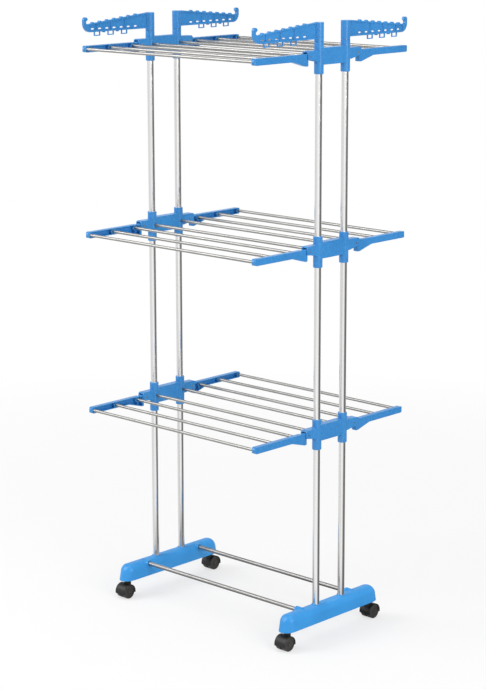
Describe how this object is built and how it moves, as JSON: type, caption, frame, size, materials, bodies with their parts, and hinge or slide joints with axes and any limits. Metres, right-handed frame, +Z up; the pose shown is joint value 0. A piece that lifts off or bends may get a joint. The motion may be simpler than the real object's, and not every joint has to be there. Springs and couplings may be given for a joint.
{
  "type": "clothes drying rack",
  "caption": "Free-standing clothes drying rack on castors, with folding rod wings on each tier and swivelling hanger arms on top.",
  "frame": {"origin": "centre of the footprint, on the floor under the wheels", "axes": "+X along the rods (long side), +Y along the wings, towards the back pair of wings, +Z up"},
  "size_m": [0.678, 0.614, 1.6923],
  "materials": {
    "blue_plastic": "satin moulded plastic, bright blue",
    "polished_steel": "bright polished stainless tube",
    "castor_hood_plastic": "moulded black plastic",
    "castor_wheel_plastic": "charcoal hard tread, slightly scuffed",
    "pin_steel": "zinc-plated pin"
  },
  "bodies": {
    "frame": {"base_rod_back": "polished_steel", "base_rod_front": "polished_steel", "castor_stems": "pin_steel", "connector_bottom_left": "blue_plastic", "connector_bottom_right": "blue_plastic", "connector_middle_left": "blue_plastic", "connector_middle_right": "blue_plastic", "connector_top_left": "blue_plastic", "connector_top_right": "blue_plastic", "foot_left": "blue_plastic", "foot_right": "blue_plastic", "hanger_stubs": "polished_steel", "hinge_pins": "pin_steel", "post_lower_left_back": "polished_steel", "post_lower_left_front": "polished_steel", "post_lower_right_back": "polished_steel", "post_lower_right_front": "polished_steel", "post_middle_left_back": "polished_steel", "post_middle_left_front": "polished_steel", "post_middle_right_back": "polished_steel", "post_middle_right_front": "polished_steel", "post_upper_left_back": "polished_steel", "post_upper_left_front": "polished_steel", "post_upper_right_back": "polished_steel", "post_upper_right_front": "polished_steel", "tie_rods": "polished_steel"},
    "wing_bottom_front": {"wing_rods_bottom_front": "polished_steel", "wing_arm_bottom_front_left": "blue_plastic", "wing_arm_bottom_front_right": "blue_plastic"},
    "wing_bottom_back": {"wing_rods_bottom_back": "polished_steel", "wing_arm_bottom_back_left": "blue_plastic", "wing_arm_bottom_back_right": "blue_plastic"},
    "wing_middle_front": {"wing_rods_middle_front": "polished_steel", "wing_arm_middle_front_left": "blue_plastic", "wing_arm_middle_front_right": "blue_plastic"},
    "wing_middle_back": {"wing_rods_middle_back": "polished_steel", "wing_arm_middle_back_left": "blue_plastic", "wing_arm_middle_back_right": "blue_plastic"},
    "wing_top_front": {"wing_rods_top_front": "polished_steel", "wing_arm_top_front_left": "blue_plastic", "wing_arm_top_front_right": "blue_plastic"},
    "wing_top_back": {"wing_rods_top_back": "polished_steel", "wing_arm_top_back_left": "blue_plastic", "wing_arm_top_back_right": "blue_plastic"},
    "hanger_left_front": {"hanger_arm_left_front": "blue_plastic"},
    "hanger_left_back": {"hanger_arm_left_back": "blue_plastic"},
    "hanger_right_front": {"hanger_arm_right_front": "blue_plastic"},
    "hanger_right_back": {"hanger_arm_right_back": "blue_plastic"},
    "castor_left_front": {"castor_hood_left_front": "castor_hood_plastic"},
    "wheels_left_front": {"castor_wheels_left_front": "castor_wheel_plastic", "castor_axle_left_front": "pin_steel"},
    "castor_left_back": {"castor_hood_left_back": "castor_hood_plastic"},
    "wheels_left_back": {"castor_wheels_left_back": "castor_wheel_plastic", "castor_axle_left_back": "pin_steel"},
    "castor_right_front": {"castor_hood_right_front": "castor_hood_plastic"},
    "wheels_right_front": {"castor_wheels_right_front": "castor_wheel_plastic", "castor_axle_right_front": "pin_steel"},
    "castor_right_back": {"castor_hood_right_back": "castor_hood_plastic"},
    "wheels_right_back": {"castor_wheels_right_back": "castor_wheel_plastic", "castor_axle_right_back": "pin_steel"}
  },
  "joints": [
    {"name": "wing_bottom_front_fold", "type": "hinge", "parent": "frame", "child": "wing_bottom_front", "pos_m": [0, -0.095, 0.591], "axis": [1, 0, 0], "range_deg": [0, 90]},
    {"name": "wing_bottom_back_fold", "type": "hinge", "parent": "frame", "child": "wing_bottom_back", "pos_m": [0, 0.095, 0.591], "axis": [-1, 0, 0], "range_deg": [0, 90]},
    {"name": "wing_middle_front_fold", "type": "hinge", "parent": "frame", "child": "wing_middle_front", "pos_m": [0, -0.095, 1.093], "axis": [1, 0, 0], "range_deg": [0, 90]},
    {"name": "wing_middle_back_fold", "type": "hinge", "parent": "frame", "child": "wing_middle_back", "pos_m": [0, 0.095, 1.093], "axis": [-1, 0, 0], "range_deg": [0, 90]},
    {"name": "wing_top_front_fold", "type": "hinge", "parent": "frame", "child": "wing_top_front", "pos_m": [0, -0.095, 1.606], "axis": [1, 0, 0], "range_deg": [0, 90]},
    {"name": "wing_top_back_fold", "type": "hinge", "parent": "frame", "child": "wing_top_back", "pos_m": [0, 0.095, 1.606], "axis": [-1, 0, 0], "range_deg": [0, 90]},
    {"name": "hanger_left_front_swivel", "type": "hinge", "parent": "frame", "child": "hanger_left_front", "pos_m": [-0.315, -0.053, 1.655], "axis": [0, 0, 1], "range_deg": [-90, 90]},
    {"name": "hanger_left_back_swivel", "type": "hinge", "parent": "frame", "child": "hanger_left_back", "pos_m": [-0.315, 0.053, 1.655], "axis": [0, 0, 1], "range_deg": [-90, 90]},
    {"name": "hanger_right_front_swivel", "type": "hinge", "parent": "frame", "child": "hanger_right_front", "pos_m": [0.315, -0.053, 1.655], "axis": [0, 0, 1], "range_deg": [-90, 90]},
    {"name": "hanger_right_back_swivel", "type": "hinge", "parent": "frame", "child": "hanger_right_back", "pos_m": [0.315, 0.053, 1.655], "axis": [0, 0, 1], "range_deg": [-90, 90]},
    {"name": "castor_left_front_swivel", "type": "hinge", "parent": "frame", "child": "castor_left_front", "pos_m": [-0.315, -0.171, 0.05], "axis": [0, 0, 1], "continuous": true},
    {"name": "wheels_left_front_roll", "type": "hinge", "parent": "castor_left_front", "child": "wheels_left_front", "pos_m": [-0.315, -0.18, 0.02], "axis": [1, 0, 0], "continuous": true},
    {"name": "castor_left_back_swivel", "type": "hinge", "parent": "frame", "child": "castor_left_back", "pos_m": [-0.315, 0.171, 0.05], "axis": [0, 0, 1], "continuous": true},
    {"name": "wheels_left_back_roll", "type": "hinge", "parent": "castor_left_back", "child": "wheels_left_back", "pos_m": [-0.315, 0.18, 0.02], "axis": [1, 0, 0], "continuous": true},
    {"name": "castor_right_front_swivel", "type": "hinge", "parent": "frame", "child": "castor_right_front", "pos_m": [0.315, -0.171, 0.05], "axis": [0, 0, 1], "continuous": true},
    {"name": "wheels_right_front_roll", "type": "hinge", "parent": "castor_right_front", "child": "wheels_right_front", "pos_m": [0.315, -0.18, 0.02], "axis": [1, 0, 0], "continuous": true},
    {"name": "castor_right_back_swivel", "type": "hinge", "parent": "frame", "child": "castor_right_back", "pos_m": [0.315, 0.171, 0.05], "axis": [0, 0, 1], "continuous": true},
    {"name": "wheels_right_back_roll", "type": "hinge", "parent": "castor_right_back", "child": "wheels_right_back", "pos_m": [0.315, 0.18, 0.02], "axis": [1, 0, 0], "continuous": true}
  ]
}
